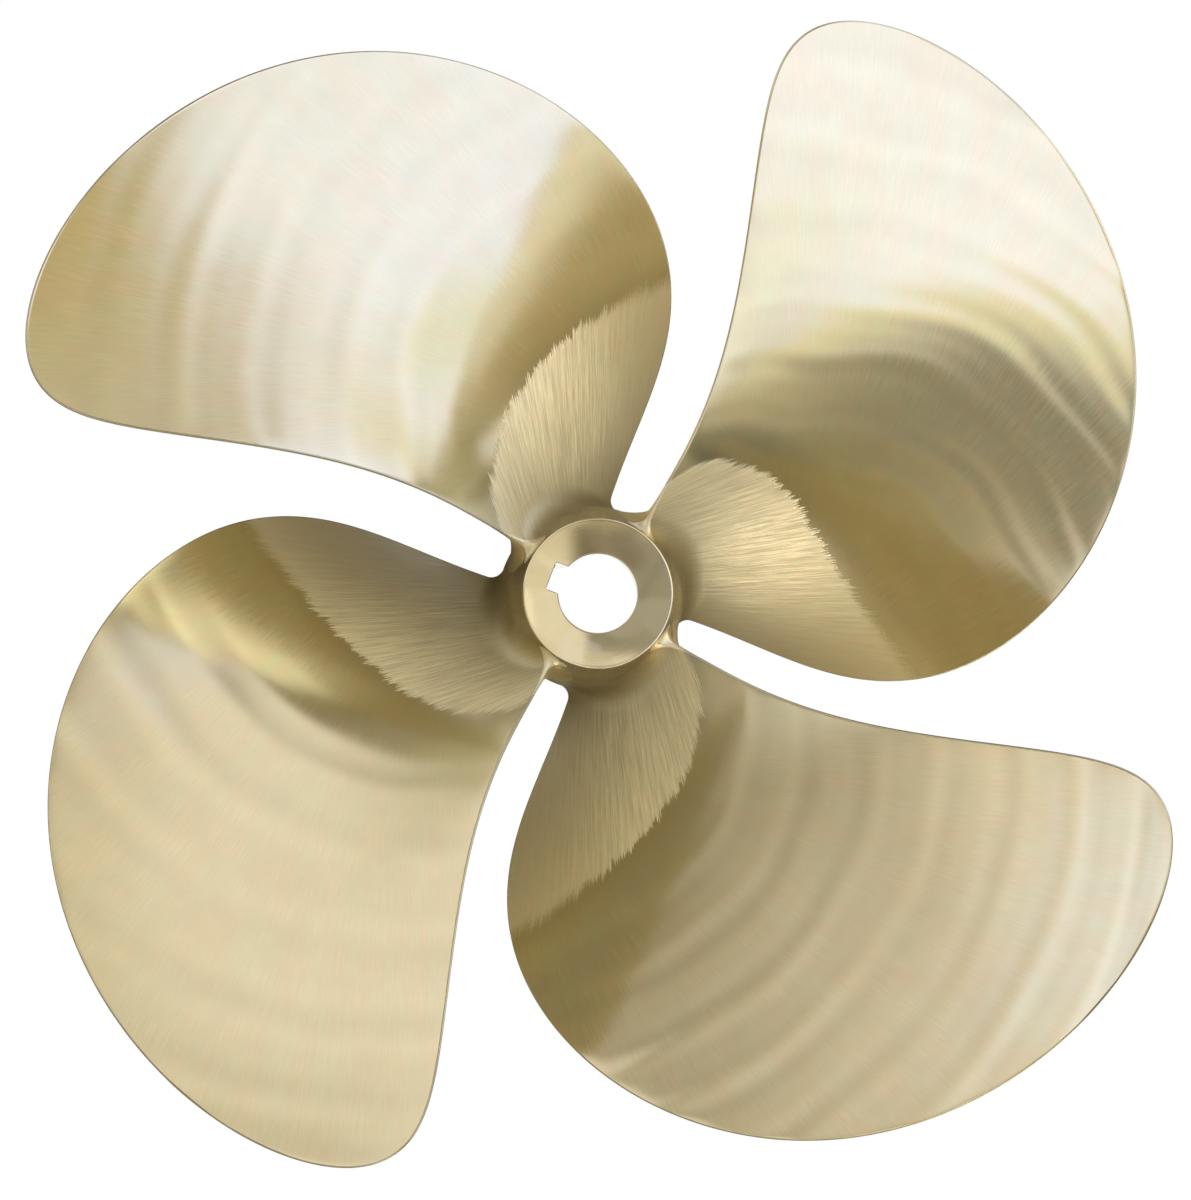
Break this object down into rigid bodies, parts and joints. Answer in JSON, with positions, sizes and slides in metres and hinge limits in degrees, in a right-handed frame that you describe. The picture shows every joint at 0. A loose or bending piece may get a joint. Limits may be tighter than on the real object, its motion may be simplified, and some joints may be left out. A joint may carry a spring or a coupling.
{
  "type": "ship propeller",
  "caption": "Fixed-pitch ship propeller cast in one piece in bronze, with broad skewed blades on a short hub with a keyed taper bore. Right-handed.",
  "frame": {"origin": "centre of the hub's forward face, on the shaft's axis; the propeller rests on this face", "axes": "+Z along the shaft's axis, pointing aft, so the blades' pressure faces look up; -X through the middle of the keyway; +Y completes the right-handed set"},
  "size_m": [0.8802, 0.8802, 0.2061],
  "materials": {
    "bronze": "pale bronze, ground and satin, with grinder ripples on the blades and a turned aft face"
  },
  "bodies": {
    "root": {"propeller_casting": "bronze"}
  },
  "joints": []
}
